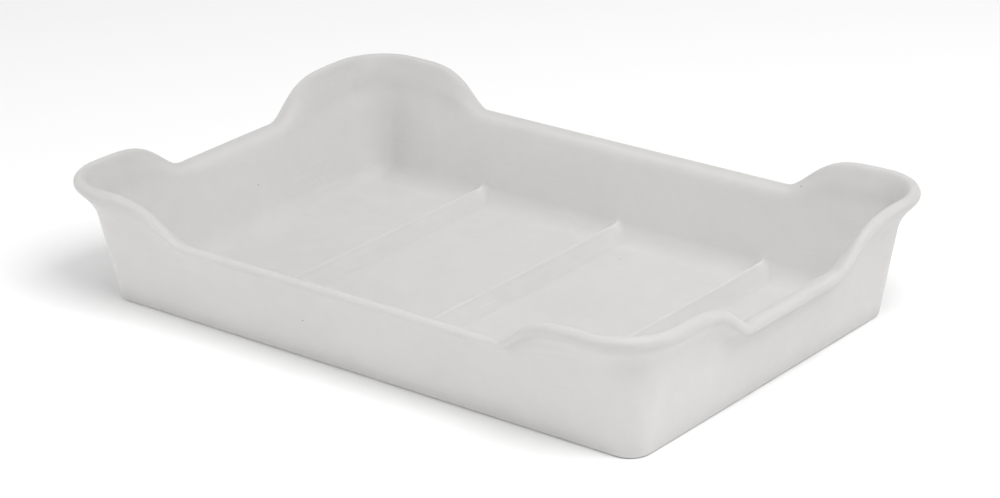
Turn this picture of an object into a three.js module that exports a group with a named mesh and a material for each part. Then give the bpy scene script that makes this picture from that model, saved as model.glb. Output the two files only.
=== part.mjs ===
// Developing tray: a shallow rectangular basin moulded in one piece, with a pouring lobe at each
// corner, a lip that turns outwards all round, and three cross ribs standing on the floor.
//
// Millimetres, +Z up. The origin is the middle of the underside, which stands on the bench.
// X runs along the length and Y across the width.
import * as THREE from 'three';
import { ParametricGeometry } from 'three/addons/geometries/ParametricGeometry.js';
import { mergeVertices } from 'three/addons/utils/BufferGeometryUtils.js';

// Overall sizes, measured over the outside of the walls at the base.
const baseLength = 560;
const baseWidth = 350;
const baseCornerRadius = 19;
const rimHeight = 81.5;
const lobeHeight = 113.5;

// Walls and floor.
const wallThickness = 3.5;
const floorThickness = 3.5;
const wallLean = 0.19;
const outerEdgeRadius = 4;
const innerEdgeRadius = 18;

// Lip: the top of the wall bends outwards, thickens and ends in a round edge. Along the sides it
// turns level, and it is wider along the two short ends; on the lobes it is a broad, steep flare.
// The bend starts on the wall and is aimed by a point farther up it, both measured down from the
// middle of the round edge.
const sideLip = { edgeOut: 21, edgeRadius: 3.75, bendBelow: 9.75, aimBelow: 0 };
const endLip = { edgeOut: 24.5, edgeRadius: 4.75, bendBelow: 12, aimBelow: 0 };
const lobeLip = { edgeOut: 27.5, edgeRadius: 5.5, bendBelow: 30, aimBelow: 12 };

// Lobe outline: level round the corner, then an S-shaped shoulder down to the side rim.
const lobeReach = 113;
const lobeFlatness = 5.2;
const lobeShoulder = 2.6;

// Cross ribs: tapered bars from wall to wall.
const ribSpacing = 155;
const ribHeight = 14;
const ribBaseThickness = 22;
const ribCrestThickness = 4;
const ribGap = 0.3;

// Mesh resolution.
const cornerSteps = 6;
const lobeSteps = 8;
const middleSteps = 4;
const bendSteps = 6;
const edgeSteps = 6;
const filletSteps = 4;

const plasticColour = '#d5d4d0';

// One stop on the way round the base outline: its point, its outward normal, how far it faces a
// short end, and how much of the lobe's height and flare it has, from 0 on the side rim to 1 at the
// corner.
function stopAt(x, y, normalAngle, distanceFromCorner) {
  const t = Math.min(distanceFromCorner / lobeReach, 1);
  return {
    x,
    y,
    nx: Math.cos(normalAngle),
    ny: Math.sin(normalAngle),
    end: Math.cos(normalAngle) ** 2,
    lobe: Math.pow(1 - Math.pow(t, lobeFlatness), lobeShoulder),
  };
}

// Distances along one straight side, close together on the lobes and wide apart between them.
function sideDistances(sideLength) {
  const halfArc = (baseCornerRadius * Math.PI) / 4;
  const lobePart = lobeReach - halfArc;
  const distances = [];
  for (let i = 1; i <= lobeSteps; i += 1) {
    distances.push((lobePart * i) / lobeSteps);
  }
  for (let i = 1; i <= middleSteps; i += 1) {
    distances.push(lobePart + ((sideLength - 2 * lobePart) * i) / middleSteps);
  }
  for (let i = 1; i < lobeSteps; i += 1) {
    distances.push(sideLength - lobePart + (lobePart * i) / lobeSteps);
  }
  return distances;
}

// The closed, anticlockwise list of stops: a corner arc and then the straight side after it.
function outlineStops() {
  const stops = [];
  const halfArc = (baseCornerRadius * Math.PI) / 4;
  for (let corner = 0; corner < 4; corner += 1) {
    const signX = corner === 0 || corner === 3 ? 1 : -1;
    const signY = corner < 2 ? 1 : -1;
    const centreX = signX * (baseLength / 2 - baseCornerRadius);
    const centreY = signY * (baseWidth / 2 - baseCornerRadius);
    const startAngle = (corner * Math.PI) / 2;
    for (let i = 0; i <= cornerSteps; i += 1) {
      const angle = startAngle + (i / cornerSteps) * (Math.PI / 2);
      const x = centreX + baseCornerRadius * Math.cos(angle);
      const y = centreY + baseCornerRadius * Math.sin(angle);
      stops.push(stopAt(x, y, angle, Math.abs((2 * i) / cornerSteps - 1) * halfArc));
    }
    const side = (corner % 2 === 0 ? baseLength : baseWidth) - 2 * baseCornerRadius;
    const endAngle = startAngle + Math.PI / 2;
    const start = stops[stops.length - 1];
    for (const distance of sideDistances(side)) {
      const x = start.x - distance * Math.sin(endAngle);
      const y = start.y + distance * Math.cos(endAngle);
      stops.push(stopAt(x, y, endAngle, Math.min(distance, side - distance) + halfArc));
    }
  }
  return stops;
}

const mix = (a, b, t) => a + (b - a) * t;

// The centre of a round edge of the given radius that runs from a level face into the leaning
// wall. Both faces are given by their distance from the outline's corner.
function edgeCentre(radius, levelUp, wallInset) {
  const up = levelUp + radius;
  return { out: up * wallLean - wallInset - radius * Math.hypot(1, wallLean), up };
}

// One of the lip's measures at a stop.
function lipMeasure(stop, key) {
  return mix(mix(sideLip[key], endLip[key], stop.end), lobeLip[key], stop.lobe);
}

// The middle line of the bent lip, from the wall to the middle of its round edge.
function lipCurve(stop) {
  const edgeUp = mix(rimHeight, lobeHeight, stop.lobe) - lipMeasure(stop, 'edgeRadius');
  const onWall = (up) => new THREE.Vector2(up * wallLean - wallThickness / 2, up);
  return new THREE.QuadraticBezierCurve(
    onWall(edgeUp - lipMeasure(stop, 'bendBelow')),
    onWall(edgeUp - lipMeasure(stop, 'aimBelow')),
    new THREE.Vector2(lipMeasure(stop, 'edgeOut'), edgeUp),
  );
}

// Points on an arc about a centre, both ends included.
function arcPoints(centre, radius, startAngle, endAngle, steps) {
  return Array.from({ length: steps + 1 }, (_, i) => {
    const angle = mix(startAngle, endAngle, i / steps);
    return [centre.out + radius * Math.cos(angle), centre.up + radius * Math.sin(angle)];
  });
}

// The wall's section at a stop, as [outward, up] points: out from the floor's inner edge, up the
// inside, round the lip's edge, down the outside and back under the base.
function wallSection(stop) {
  const leanAngle = Math.atan(wallLean);
  const edgeRadius = lipMeasure(stop, 'edgeRadius');
  const curve = lipCurve(stop);
  const inside = [];
  const outside = [];
  for (let i = 0; i < bendSteps; i += 1) {
    const t = i / bendSteps;
    const point = curve.getPoint(t);
    const along = curve.getTangent(t);
    const half = mix(wallThickness / 2, edgeRadius, THREE.MathUtils.smoothstep(t, 0, 1));
    inside.push([point.x - half * along.y, point.y + half * along.x]);
    outside.unshift([point.x + half * along.y, point.y - half * along.x]);
  }
  const edge = curve.getPoint(1);
  const edgeAngle = curve.getTangent(1).angle() + Math.PI / 2;
  return [
    ...arcPoints(
      edgeCentre(innerEdgeRadius, floorThickness, wallThickness),
      innerEdgeRadius,
      -Math.PI / 2,
      -leanAngle,
      filletSteps,
    ),
    ...inside,
    ...arcPoints({ out: edge.x, up: edge.y }, edgeRadius, edgeAngle, edgeAngle - Math.PI, edgeSteps),
    ...outside,
    ...arcPoints(edgeCentre(outerEdgeRadius, 0, 0), outerEdgeRadius, -leanAngle, -Math.PI / 2, filletSteps),
  ];
}

// A closed mesh without repeated vertices or collapsed triangles.
function cleaned(geometry) {
  geometry.deleteAttribute('uv');
  geometry.deleteAttribute('normal');
  const merged = mergeVertices(geometry, 1e-4);
  const index = merged.getIndex().array;
  const kept = [];
  for (let i = 0; i < index.length; i += 3) {
    const [a, b, c] = [index[i], index[i + 1], index[i + 2]];
    if (a !== b && b !== c && c !== a) {
      kept.push(a, b, c);
    }
  }
  merged.setIndex(kept);
  merged.computeVertexNormals();
  return merged;
}

// The basin: the wall's section swept round the outline and closed over the floor, inside and
// underneath, at two points on the middle axis.
function trayShellGeometry() {
  const stops = outlineStops();
  const sections = stops.map(wallSection);
  const ringCount = sections[0].length + 1;
  const surfacePoint = (u, v, target) => {
    const column = Math.round((1 - u) * stops.length) % stops.length;
    const ring = Math.round(v * ringCount);
    if (ring === 0) {
      target.set(0, 0, floorThickness);
    } else if (ring === ringCount) {
      target.set(0, 0, 0);
    } else {
      const stop = stops[column];
      const [out, up] = sections[column][ring - 1];
      target.set(stop.x + stop.nx * out, stop.y + stop.ny * out, up);
    }
  };
  return cleaned(new ParametricGeometry(surfacePoint, stops.length, ringCount));
}

// One cross rib: its long elevation extruded to the base thickness, then tapered to the crest.
// Its ends follow the inside of the long walls.
function crossRibGeometry() {
  const endCentre = baseWidth / 2 + edgeCentre(innerEdgeRadius, floorThickness, wallThickness).out;
  const radius = innerEdgeRadius - ribGap;
  const crestAngle = Math.asin((innerEdgeRadius - ribHeight) / radius);
  const outline = new THREE.Shape();
  outline.moveTo(-endCentre, 0);
  outline.lineTo(endCentre, 0);
  outline.absarc(endCentre, innerEdgeRadius, radius, -Math.PI / 2, -crestAngle, false);
  outline.absarc(-endCentre, innerEdgeRadius, radius, Math.PI + crestAngle, 1.5 * Math.PI, false);
  outline.closePath();
  const geometry = new THREE.ExtrudeGeometry(outline, {
    depth: ribBaseThickness,
    bevelEnabled: false,
    curveSegments: 6,
  });
  geometry.translate(0, 0, -ribBaseThickness / 2);
  geometry.rotateX(Math.PI / 2);
  geometry.rotateZ(Math.PI / 2);
  const positions = geometry.getAttribute('position');
  for (let i = 0; i < positions.count; i += 1) {
    const taper = mix(1, ribCrestThickness / ribBaseThickness, positions.getZ(i) / ribHeight);
    positions.setX(i, positions.getX(i) * taper);
  }
  return cleaned(geometry);
}

function plastic() {
  return new THREE.MeshStandardMaterial({ color: plasticColour, roughness: 0.45, metalness: 0 });
}

function namedMesh(name, geometry) {
  const mesh = new THREE.Mesh(geometry, plastic());
  mesh.name = name;
  return mesh;
}

const tray = new THREE.Group();
tray.name = 'developing_tray';
tray.add(namedMesh('tray_shell', trayShellGeometry()));

const ribNames = ['cross_rib_left', 'cross_rib_middle', 'cross_rib_right'];
ribNames.forEach((name, i) => {
  const rib = namedMesh(name, crossRibGeometry());
  rib.position.set((i - 1) * ribSpacing, 0, floorThickness);
  tray.add(rib);
});

export default tray;
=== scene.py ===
import math

import bmesh
import bpy
from mathutils import Matrix, Vector, noise


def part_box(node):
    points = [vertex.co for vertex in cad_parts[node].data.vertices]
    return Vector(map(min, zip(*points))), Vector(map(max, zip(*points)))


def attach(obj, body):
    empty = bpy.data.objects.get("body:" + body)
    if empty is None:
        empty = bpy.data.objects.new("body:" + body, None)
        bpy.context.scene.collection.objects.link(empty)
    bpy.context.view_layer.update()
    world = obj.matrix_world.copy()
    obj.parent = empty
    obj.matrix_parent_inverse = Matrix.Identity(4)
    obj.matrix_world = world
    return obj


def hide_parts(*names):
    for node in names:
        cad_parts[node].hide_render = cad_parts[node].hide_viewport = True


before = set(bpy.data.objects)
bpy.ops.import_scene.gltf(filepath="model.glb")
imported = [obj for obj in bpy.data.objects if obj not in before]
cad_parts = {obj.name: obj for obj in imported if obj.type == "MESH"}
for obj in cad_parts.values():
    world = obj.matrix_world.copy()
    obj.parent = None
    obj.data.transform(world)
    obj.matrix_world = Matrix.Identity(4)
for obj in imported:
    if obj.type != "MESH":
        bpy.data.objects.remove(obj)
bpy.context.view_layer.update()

# A developing tray moulded from milky natural plastic: a basin with leaning walls, a lip that turns
# outwards all round, a raised pouring lobe at each corner and three ribs across the floor.
# Metres, in the frame of the CAD model: X along the length, Y across, +Z up, standing on Z = 0.

# ---------------------------------------------------------------------------------------------
# Driving dimensions
# ---------------------------------------------------------------------------------------------

# Walls and floor.
BASE_CORNER_RADIUS = 0.019
RIM_HEIGHT = 0.0815
WALL_THICKNESS = 0.0035
WALL_LEAN = 0.19
OUTER_EDGE_RADIUS = 0.004
INNER_EDGE_RADIUS = 0.018

# The lip's bend along the long sides, along the short ends and on the lobes, as on the CAD model:
# where the middle of its round edge stands beyond the base, that edge's radius, and how far below
# it the bend starts and is aimed.
SIDE_LIP = {"edge_out": 0.021, "edge_radius": 0.00375, "bend_below": 0.00975, "aim_below": 0.0}
END_LIP = {"edge_out": 0.0245, "edge_radius": 0.00475, "bend_below": 0.012, "aim_below": 0.0}
LOBE_LIP = {"edge_out": 0.0275, "edge_radius": 0.0055, "bend_below": 0.030, "aim_below": 0.012}

# Lobe outline: level round the corner, then an S-shaped shoulder down to the side rim.
LOBE_REACH = 0.113
LOBE_FLATNESS = 5.2
LOBE_SHOULDER = 2.6

# Cross ribs, with a rounded crest and a concave blend round the foot.
RIB_NODES = ("cross_rib_left", "cross_rib_middle", "cross_rib_right")
RIB_CREST_THICKNESS = 0.004
RIB_CREST_BLEND = 0.010
RIB_FOOT_BLEND = 0.008

# Taken from the frame.
SHELL_LOW, SHELL_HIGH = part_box("tray_shell")
LIP_OVERHANG = LOBE_LIP["edge_out"] + LOBE_LIP["edge_radius"]
BASE_LENGTH = SHELL_HIGH[0] - SHELL_LOW[0] - 2 * LIP_OVERHANG
BASE_WIDTH = SHELL_HIGH[1] - SHELL_LOW[1] - 2 * LIP_OVERHANG
LOBE_HEIGHT = SHELL_HIGH[2]
RIB_BOXES = [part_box(name) for name in RIB_NODES]
FLOOR_TOP = RIB_BOXES[0][0][2]
RIB_HEIGHT = RIB_BOXES[0][1][2] - FLOOR_TOP
RIB_BASE_THICKNESS = RIB_BOXES[0][1][0] - RIB_BOXES[0][0][0]
RIB_MIDDLES = [(low[0] + high[0]) / 2 for low, high in RIB_BOXES]

# Mesh resolution. The grid is fine within the reach of a rib's middle and coarse elsewhere.
GRID_STEP = 0.006
RIB_STEP = 0.0008
RIB_REACH = 0.018
CORNER_STEPS = 12
FILLET_STEPS = 10
WALL_STEPS = 8
BEND_STEPS = 14
EDGE_STEPS = 14
OUTER_EDGE_STEPS = 6

# A moulding is never quite flat: its walls and floor wander by a fraction of a millimetre.
WARP_HEIGHT = 0.0005
WARP_PER_METRE = 7.0
WARP_SIDE_SEED = Vector((3.1, 0, 0))
WARP_RISE_SEED = Vector((0, 8.3, 0))

# Plastic: the depth that light scatters to, and the tones of its clouds, specks and scratches.
SCATTER_DEPTH = 0.008
SCATTER_BY_COLOUR = (1.0, 0.98, 0.94)
CLOUD_DARK = (0.588, 0.582, 0.574, 1)
CLOUD_LIGHT = (0.620, 0.614, 0.607, 1)
SPECK_TONE = (0.30, 0.28, 0.24, 1)
SCRATCH_TONE = (0.72, 0.72, 0.71, 1)
SCRATCH_WHITENING = 0.12
# How dark the painted shade makes the lip's round edge and the rib crests, which would otherwise light
# up brighter than the walls and floor.
PAINTED_SHADE_TONE = 0.90


# ---------------------------------------------------------------------------------------------
# Geometry
# ---------------------------------------------------------------------------------------------

# A section is a list of (out, up): outwards from the base's outline, and up from the underside.


def mix(a, b, t):
    """The value at share t of the way from a to b."""
    return a + (b - a) * t


def spaced(start, end, step):
    """Evenly spaced values from start to end, both included, no farther apart than step."""
    count = max(1, math.ceil(abs(end - start) / step - 1e-9))
    return [mix(start, end, i / count) for i in range(count + 1)]


def smoothstep(t):
    """An S-shaped rise from 0 at t = 0 to 1 at t = 1, level outside them."""
    t = min(max(t, 0.0), 1.0)
    return t * t * (3 - 2 * t)


def smooth_max(a, b, blend):
    """The larger of two values, rounded off where they are closer than the blend."""
    overlap = max(blend - abs(a - b), 0.0)
    return max(a, b) + overlap * overlap / (4 * blend)


def smooth_min(a, b, blend):
    """The smaller of two values, rounded off in the same way."""
    return -smooth_max(-a, -b, blend)


def arc(centre, radius, start_angle, end_angle, steps):
    """Points (out, up) on an arc, both ends included."""
    angles = (mix(start_angle, end_angle, i / steps) for i in range(steps + 1))
    return [(centre[0] + radius * math.cos(a), centre[1] + radius * math.sin(a)) for a in angles]


def edge_centre(radius, level_up, wall_inset):
    """The centre of a round edge that runs from a level face into the leaning wall."""
    up = level_up + radius
    return (up * WALL_LEAN - wall_inset - radius * math.hypot(1, WALL_LEAN), up)


def lip_measure(key, end, lobe):
    """One of the lip's measures, by how far it faces a short end and how much lobe there is."""
    return mix(mix(SIDE_LIP[key], END_LIP[key], end), LOBE_LIP[key], lobe)


def lip_curve(end, lobe, t):
    """Point and unit tangent at t on the middle line of the bent lip."""
    lip = {key: lip_measure(key, end, lobe) for key in SIDE_LIP}
    edge_up = mix(RIM_HEIGHT, LOBE_HEIGHT, lobe) - lip["edge_radius"]

    def on_wall(up):
        return Vector((up * WALL_LEAN - WALL_THICKNESS / 2, up))

    start = on_wall(edge_up - lip["bend_below"])
    aim = on_wall(edge_up - lip["aim_below"])
    edge = Vector((lip["edge_out"], edge_up))
    point = start * (1 - t) ** 2 + aim * 2 * t * (1 - t) + edge * t**2
    tangent = ((aim - start) * (1 - t) + (edge - aim) * t).normalized()
    return point, tangent


def inner_section():
    """(out, up) from the floor's flat, round the inner fillet."""
    centre = edge_centre(INNER_EDGE_RADIUS, FLOOR_TOP, WALL_THICKNESS)
    fillet = arc(centre, INNER_EDGE_RADIUS, -math.pi / 2, -math.atan(WALL_LEAN), FILLET_STEPS)
    return [(-BASE_CORNER_RADIUS, FLOOR_TOP)] + fillet


def wall_section(end, lobe):
    """The whole section at one stop round the outline, from the floor inside, over the lip and
    down to the underside, as (out, up)."""
    edge_radius = lip_measure("edge_radius", end, lobe)
    inside = []
    outside = []
    for i in range(BEND_STEPS):
        t = i / BEND_STEPS
        point, tangent = lip_curve(end, lobe, t)
        half = mix(WALL_THICKNESS / 2, edge_radius, smoothstep(t))
        across = Vector((-tangent.y, tangent.x)) * half
        inside.append(tuple(point + across))
        outside.insert(0, tuple(point - across))
    edge, along = lip_curve(end, lobe, 1.0)
    edge_angle = math.atan2(along.y, along.x) + math.pi / 2
    section = inner_section()
    section += line(section[-1], inside[0])
    section += inside
    section += arc(edge, edge_radius, edge_angle, edge_angle - math.pi, EDGE_STEPS)
    section += outside
    outer_edge = arc(
        edge_centre(OUTER_EDGE_RADIUS, 0, 0),
        OUTER_EDGE_RADIUS,
        -math.atan(WALL_LEAN),
        -math.pi / 2,
        OUTER_EDGE_STEPS,
    )
    section += line(outside[-1], outer_edge[0])
    return section + outer_edge + [(-BASE_CORNER_RADIUS, 0.0)]


def lip_painted_shade():
    """How much painted shade each point of the wall section gets, to hold back the lip's brighter
    lighting: 1 on the lip's round edge.
    """
    bend = [smoothstep(2 * i / BEND_STEPS - 1) for i in range(BEND_STEPS)]
    inside = [0.0] * (len(inner_section()) + WALL_STEPS - 1)
    outside = [0.0] * (WALL_STEPS + OUTER_EDGE_STEPS + 1)
    return inside + bend + [1.0] * (EDGE_STEPS + 1) + bend[::-1] + outside


def line(start, end):
    """The points between two points of a section, neither included."""
    steps = [i / WALL_STEPS for i in range(1, WALL_STEPS)]
    return [(mix(start[0], end[0], t), mix(start[1], end[1], t)) for t in steps]


def lobe_share(distance):
    """How much of the lobe there is at a distance round the outline from the corner's middle."""
    t = min(distance / LOBE_REACH, 1.0)
    return (1 - t**LOBE_FLATNESS) ** LOBE_SHOULDER


def warped(x, y, z):
    """A point moved a little sideways and, away from the underside, up or down."""
    where = Vector((x, y, z)) * WARP_PER_METRE
    share = min(z / RIM_HEIGHT, 1.0)
    side = noise.noise(where + WARP_SIDE_SEED) * WARP_HEIGHT * share
    rise = noise.noise(where + WARP_RISE_SEED) * WARP_HEIGHT * share
    return (x + side, y + side, z + rise)


def outline_stops(xs, ys):
    """Stops round the base outline, anticlockwise: (x, y, normal x, normal y, lobe share)."""
    half_arc = BASE_CORNER_RADIUS * math.pi / 4
    stops = []
    for corner in range(4):
        sign_x = 1 if corner in (0, 3) else -1
        sign_y = 1 if corner < 2 else -1
        for i in range(CORNER_STEPS + 1):
            angle = (corner + i / CORNER_STEPS) * math.pi / 2
            normal = (math.cos(angle), math.sin(angle))
            x = sign_x * xs[-1] + BASE_CORNER_RADIUS * normal[0]
            y = sign_y * ys[-1] + BASE_CORNER_RADIUS * normal[1]
            share = lobe_share(abs(2 * i / CORNER_STEPS - 1) * half_arc)
            stops.append((x, y, *normal, share))
        along = xs if corner % 2 == 0 else ys
        places = along[1:-1] if corner >= 2 else along[-2:0:-1]
        normal = ((0, 1), (-1, 0), (0, -1), (1, 0))[corner]
        for place in places:
            share = lobe_share(along[-1] - abs(place) + half_arc)
            if corner % 2 == 0:
                stops.append((place, normal[1] * BASE_WIDTH / 2, *normal, share))
            else:
                stops.append((normal[0] * BASE_LENGTH / 2, place, *normal, share))
    return stops


def mesh_piece(name, points, faces, painted_shade=None):
    """A shaded object from points and faces, with coincident points joined. Painted shade, which darkens
    the lip and the rib crests, is given as one number per point."""
    mesh = bpy.data.meshes.new(name)
    mesh.from_pydata(points, [], faces)
    if painted_shade:
        mesh.attributes.new("painted_shade", "FLOAT", "POINT").data.foreach_set("value", painted_shade)
    joined = bmesh.new()
    joined.from_mesh(mesh)
    bmesh.ops.remove_doubles(joined, verts=joined.verts, dist=1e-6)
    bmesh.ops.dissolve_degenerate(joined, edges=joined.edges, dist=1e-7)
    bmesh.ops.recalc_face_normals(joined, faces=joined.faces)
    joined.to_mesh(mesh)
    joined.free()
    mesh.shade_smooth()
    piece = bpy.data.objects.new(name, mesh)
    bpy.context.scene.collection.objects.link(piece)
    return piece


def grid_faces(first, columns, rows):
    """Faces of a grid whose points run row by row."""
    return [
        (first + r * columns + c, first + r * columns + c + 1,
         first + (r + 1) * columns + c + 1, first + (r + 1) * columns + c)
        for r in range(rows - 1)
        for c in range(columns - 1)
    ]


def rib_rise(distance):
    """Height of a rib above the floor at a distance from its middle plane; negative beyond it."""
    flank_run = (RIB_BASE_THICKNESS - RIB_CREST_THICKNESS) / 2
    flank = RIB_HEIGHT * (RIB_BASE_THICKNESS / 2 - distance) / flank_run
    return smooth_min(flank, RIB_HEIGHT, RIB_CREST_BLEND)


def inner_level(x, z):
    """The height of the inner surface where it would be z without the ribs."""
    distance = min(abs(x - middle) for middle in RIB_MIDDLES)
    if distance > RIB_REACH:
        return z
    return smooth_max(z, FLOOR_TOP + rib_rise(distance), RIB_FOOT_BLEND)


def crest_painted_shade(lift):
    """How much painted shade a point gets by how far a rib lifts it above the floor, to hold back the
    brighter light on the crest.
    """
    return smoothstep(2 * lift / RIB_HEIGHT - 1)


def columns_along(half):
    """Stations along the tray from -half to half, close together across each rib."""
    edges = [-half]
    for middle in RIB_MIDDLES:
        edges += [middle - RIB_REACH, middle + RIB_REACH]
    edges.append(half)
    stations = []
    for i, (start, end) in enumerate(zip(edges, edges[1:])):
        stations += spaced(start, end, RIB_STEP if i % 2 else GRID_STEP)[:-1]
    return stations + [half]


def tray_moulding():
    """The whole moulding as one closed skin: section points round the outline, a grid for the
    floor with its ribs, and a level grid for the underside."""
    half_x = BASE_LENGTH / 2 - BASE_CORNER_RADIUS
    half_y = BASE_WIDTH / 2 - BASE_CORNER_RADIUS
    xs = columns_along(half_x)
    ys = spaced(-half_y, half_y, GRID_STEP)
    stops = outline_stops(xs, ys)
    inner_count = len(inner_section()) + WALL_STEPS
    section_painted_shade = lip_painted_shade()
    points = []
    # How much painted shade darkens each point, on the lip and on the rib crests.
    painted_shade = []
    for x, y, nx, ny, share in stops:
        for i, (out, up) in enumerate(wall_section(nx * nx, share)):
            place_x = x + nx * out
            level = inner_level(place_x, up) if i < inner_count else up
            points.append(warped(place_x, y + ny * out, level))
            painted_shade.append(section_painted_shade[i] + crest_painted_shade(level - up))
    rings = len(points) // len(stops)
    faces = []
    for i in range(len(stops)):
        here = i * rings
        there = (i + 1) % len(stops) * rings
        for r in range(rings - 1):
            faces.append((here + r, there + r, there + r + 1, here + r + 1))
    for base in (FLOOR_TOP, 0.0):
        faces += grid_faces(len(points), len(xs), len(ys))
        for y in ys:
            for x in xs:
                level = inner_level(x, base) if base else 0.0
                points.append(warped(x, y, level))
                painted_shade.append(crest_painted_shade(level - base))
    return mesh_piece("tray_moulding", points, faces, painted_shade)


# ---------------------------------------------------------------------------------------------
# Material
# ---------------------------------------------------------------------------------------------


def node(tree, kind, place, **settings):
    """A node at a place on the sheet, with its inputs or its own settings filled in."""
    made = tree.nodes.new(kind)
    made.location = place
    for key, value in settings.items():
        if key in made.inputs:
            made.inputs[key].default_value = value
        else:
            setattr(made, key, value)
    return made


def noise_node(tree, place, scale, detail=2.0, roughness=0.5):
    return node(tree, "ShaderNodeTexNoise", place, Scale=scale, Detail=detail, Roughness=roughness)


def map_range(tree, place, source, start, end, low, high):
    """A node that maps source from start..end to low..high."""
    ranged = node(tree, "ShaderNodeMapRange", place)
    ranged.inputs["From Min"].default_value = start
    ranged.inputs["From Max"].default_value = end
    ranged.inputs["To Min"].default_value = low
    ranged.inputs["To Max"].default_value = high
    tree.links.new(source, ranged.inputs["Value"])
    return ranged.outputs["Result"]


def sum_of(tree, place, first, second):
    """A node that adds two values."""
    added = node(tree, "ShaderNodeMath", place, operation="ADD")
    tree.links.new(first, added.inputs[0])
    tree.links.new(second, added.inputs[1])
    return added.outputs["Value"]


def toned(tree, place, share, colour, tone):
    """A node that takes a colour towards a fixed tone by a share from 0 to 1."""
    mixed = node(tree, "ShaderNodeMix", place, data_type="RGBA")
    factor, first, second = (mixed.inputs[i] for i in (0, 6, 7))
    tree.links.new(share, factor)
    tree.links.new(colour, first)
    second.default_value = tone
    return mixed.outputs[2]


def scratches(tree, coordinates, row, turn, stretch):
    """Long, thin, sparse marks: 1 on a scratch and 0 off it. The turn is in degrees, and the
    stretch is how often the marks repeat in a metre along each axis."""
    mapping = node(tree, "ShaderNodeMapping", (-1400, row))
    mapping.inputs["Rotation"].default_value = (0, 0, math.radians(turn))
    mapping.inputs["Scale"].default_value = stretch
    tree.links.new(coordinates, mapping.inputs["Vector"])
    streaks = noise_node(tree, (-1100, row), 1.0, 1.0, 0.5)
    tree.links.new(mapping.outputs["Vector"], streaks.inputs["Vector"])
    return map_range(tree, (-800, row), streaks.outputs["Fac"], 0.67, 0.73, 0.0, 1.0)


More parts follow.
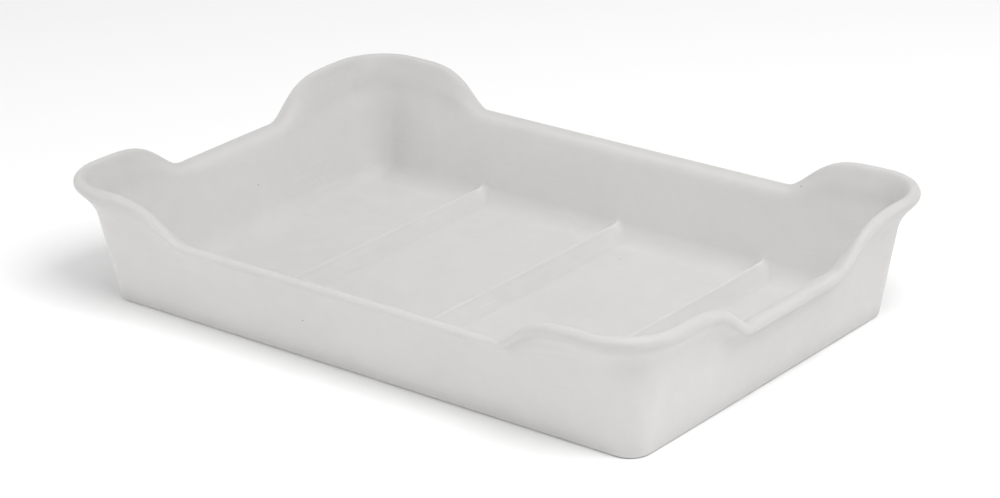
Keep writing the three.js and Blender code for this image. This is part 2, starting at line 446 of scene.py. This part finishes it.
def natural_plastic():
    """Milky natural plastic. Light scatters some millimetres into it, it is faintly clouded with a
    few specks, and its satin skin has an orange peel, scuffs and fine scratches."""
    material = bpy.data.materials.new("natural_plastic_milky")
    material.use_nodes = True
    tree = material.node_tree
    shader = tree.nodes["Principled BSDF"]
    link = tree.links.new
    shader.inputs["IOR"].default_value = 1.5
    shader.inputs["Specular IOR Level"].default_value = 0.3
    shader.inputs["Subsurface Weight"].default_value = 1.0
    shader.inputs["Subsurface Radius"].default_value = SCATTER_BY_COLOUR
    shader.inputs["Subsurface Scale"].default_value = SCATTER_DEPTH
    place = node(tree, "ShaderNodeTexCoord", (-1700, 0)).outputs["Object"]

    # Clouds of two sizes.
    clouds = noise_node(tree, (-1100, 800), 9.0, 3.0, 0.55)
    link(place, clouds.inputs["Vector"])
    mottle = noise_node(tree, (-1100, 600), 55.0, 3.0, 0.6)
    link(place, mottle.inputs["Vector"])
    broad = map_range(tree, (-800, 800), clouds.outputs["Fac"], 0.3, 0.7, 0.0, 0.6)
    fine = map_range(tree, (-800, 600), mottle.outputs["Fac"], 0.3, 0.7, 0.0, 0.4)
    tint = node(tree, "ShaderNodeValToRGB", (-400, 700))
    tint.color_ramp.elements[0].position = 0.0
    tint.color_ramp.elements[0].color = CLOUD_DARK
    tint.color_ramp.elements[1].position = 1.0
    tint.color_ramp.elements[1].color = CLOUD_LIGHT
    link(sum_of(tree, (-600, 700), broad, fine), tint.inputs["Fac"])

    # Fine scratches along and across the tray.
    lengthwise = scratches(tree, place, -150, 8.0, (9.0, 420.0, 420.0))
    crosswise = scratches(tree, place, -400, -14.0, (420.0, 11.0, 420.0))
    marks = sum_of(tree, (-600, -250), lengthwise, crosswise)

    # Specks in a few of the cells.
    cells = node(tree, "ShaderNodeTexVoronoi", (-1100, 350), Scale=60.0)
    link(place, cells.inputs["Vector"])
    chance = node(tree, "ShaderNodeSeparateColor", (-950, 250))
    link(cells.outputs["Color"], chance.inputs["Color"])
    reach = map_range(tree, (-800, 250), chance.outputs["Red"], 0.85, 1.0, 0.0, 0.06)
    speck = node(tree, "ShaderNodeMath", (-600, 350), operation="LESS_THAN")
    link(cells.outputs["Distance"], speck.inputs[0])
    link(reach, speck.inputs[1])
    speckled = toned(tree, (-200, 500), speck.outputs["Value"], tint.outputs["Color"], SPECK_TONE)

    # The scratches are whitish.
    whitened = map_range(tree, (-250, 700), marks, 0.0, 1.0, 0.0, SCRATCH_WHITENING)
    colour = toned(tree, (-50, 600), whitened, speckled, SCRATCH_TONE)

    # The lip and the crests of the ribs are darkened with painted shade, which holds back the brighter
    # light they catch.
    painted_shade_attribute = node(tree, "ShaderNodeAttribute", (-400, 350), attribute_name="painted_shade")
    painted_shade_factor = map_range(tree, (-200, 350), painted_shade_attribute.outputs["Fac"], 0.0, 1.0, 1.0, PAINTED_SHADE_TONE)
    painted_shade_colour = node(tree, "ShaderNodeVectorMath", (0, 450), operation="SCALE")
    link(colour, painted_shade_colour.inputs[0])
    link(painted_shade_factor, painted_shade_colour.inputs["Scale"])
    link(painted_shade_colour.outputs["Vector"], shader.inputs["Base Color"])

    # Scuffs and scratches make the skin rougher.
    scuffs = noise_node(tree, (-1100, 50), 60.0, 6.0, 0.65)
    link(place, scuffs.inputs["Vector"])
    worn = map_range(tree, (-800, 50), scuffs.outputs["Fac"], 0.25, 0.75, 0.42, 0.66)
    added = map_range(tree, (-400, -150), marks, 0.0, 1.0, 0.0, 0.15)
    link(sum_of(tree, (-200, 0), worn, added), shader.inputs["Roughness"])

    # Orange peel, with the scratches cut into it.
    peel = noise_node(tree, (-1100, -650), 420.0, 2.0, 0.5)
    link(place, peel.inputs["Vector"])
    cut = map_range(tree, (-400, -400), marks, 0.0, 1.0, 0.0, -0.8)
    bump = node(tree, "ShaderNodeBump", (-200, -500), Strength=0.25, Distance=0.0003)
    link(sum_of(tree, (-400, -600), peel.outputs["Fac"], cut), bump.inputs["Height"])
    link(bump.outputs["Normal"], shader.inputs["Normal"])
    return material


# ---------------------------------------------------------------------------------------------
# Stage, light and camera
# ---------------------------------------------------------------------------------------------

# The camera looks at its target from this far round the front's right, above and away, in degrees
# and metres, and is rolled a little. The lens is in millimetres.
CAMERA_AZIMUTH = 39.80
CAMERA_ELEVATION = 22.40
CAMERA_ROLL = -2.06
CAMERA_DISTANCE = 2.778
CAMERA_TARGET = Vector((-0.0727, 0.0974, 0.0))
CAMERA_LENS = 113.47


def add_camera():
    """The camera that the scene is seen through."""
    azimuth, elevation, roll = (math.radians(a) for a in (CAMERA_AZIMUTH, CAMERA_ELEVATION, CAMERA_ROLL))
    level = math.cos(elevation)
    back = Vector((math.sin(azimuth) * level, -math.cos(azimuth) * level, math.sin(elevation)))
    right = Vector((math.cos(azimuth), math.sin(azimuth), 0))
    up = back.cross(right)
    rolled_right = right * math.cos(roll) + up * math.sin(roll)
    rolled_up = up * math.cos(roll) - right * math.sin(roll)
    data = bpy.data.cameras.new("camera")
    data.lens = CAMERA_LENS
    data.sensor_width = 36.0
    data.clip_end = 50
    camera = bpy.data.objects.new("camera", data)
    turn = Matrix((rolled_right, rolled_up, back)).transposed().to_4x4()
    camera.matrix_world = Matrix.Translation(CAMERA_TARGET + back * CAMERA_DISTANCE) @ turn
    bpy.context.scene.collection.objects.link(camera)
    bpy.context.scene.camera = camera


def add_area_light(name, place, size, power):
    """A square soft box aimed at the tray."""
    data = bpy.data.lights.new(name, "AREA")
    data.size = size
    data.energy = power
    light = bpy.data.objects.new(name, data)
    light.location = place
    light.rotation_euler = (Vector((0, 0, 0.03)) - Vector(place)).to_track_quat("-Z", "Y").to_euler()
    bpy.context.scene.collection.objects.link(light)


def add_floor():
    """A large pale floor."""
    half = 6.0
    points = [(-half, -half, 0), (half, -half, 0), (half, half, 0), (-half, half, 0)]
    floor = mesh_piece("floor", points, [(0, 1, 2, 3)])
    material = bpy.data.materials.new("pale_floor")
    material.use_nodes = True
    shader = material.node_tree.nodes["Principled BSDF"]
    shader.inputs["Base Color"].default_value = (0.98, 0.98, 0.98, 1)
    shader.inputs["Roughness"].default_value = 0.9
    floor.data.materials.append(material)


def light_the_set():
    """White surroundings and three soft boxes."""
    world = bpy.data.worlds.new("studio")
    world.use_nodes = True
    sky = world.node_tree.nodes["Background"]
    sky.inputs["Color"].default_value = (1, 1, 1, 1)
    sky.inputs["Strength"].default_value = 0.5
    bpy.context.scene.world = world
    add_area_light("top_right", (1.6, -0.4, 2.4), 1.6, 54)
    add_area_light("front_left", (-1.6, -2.6, 1.2), 1.6, 22)
    add_area_light("top", (0.0, 0.0, 3.0), 2.0, 10)
    bpy.context.scene.view_settings.view_transform = "Standard"


# ---------------------------------------------------------------------------------------------
# The object
# ---------------------------------------------------------------------------------------------

tray = tray_moulding()
tray.data.materials.append(natural_plastic())
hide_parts("tray_shell", *RIB_NODES)
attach(tray, "root")

add_floor()
light_the_set()
add_camera()
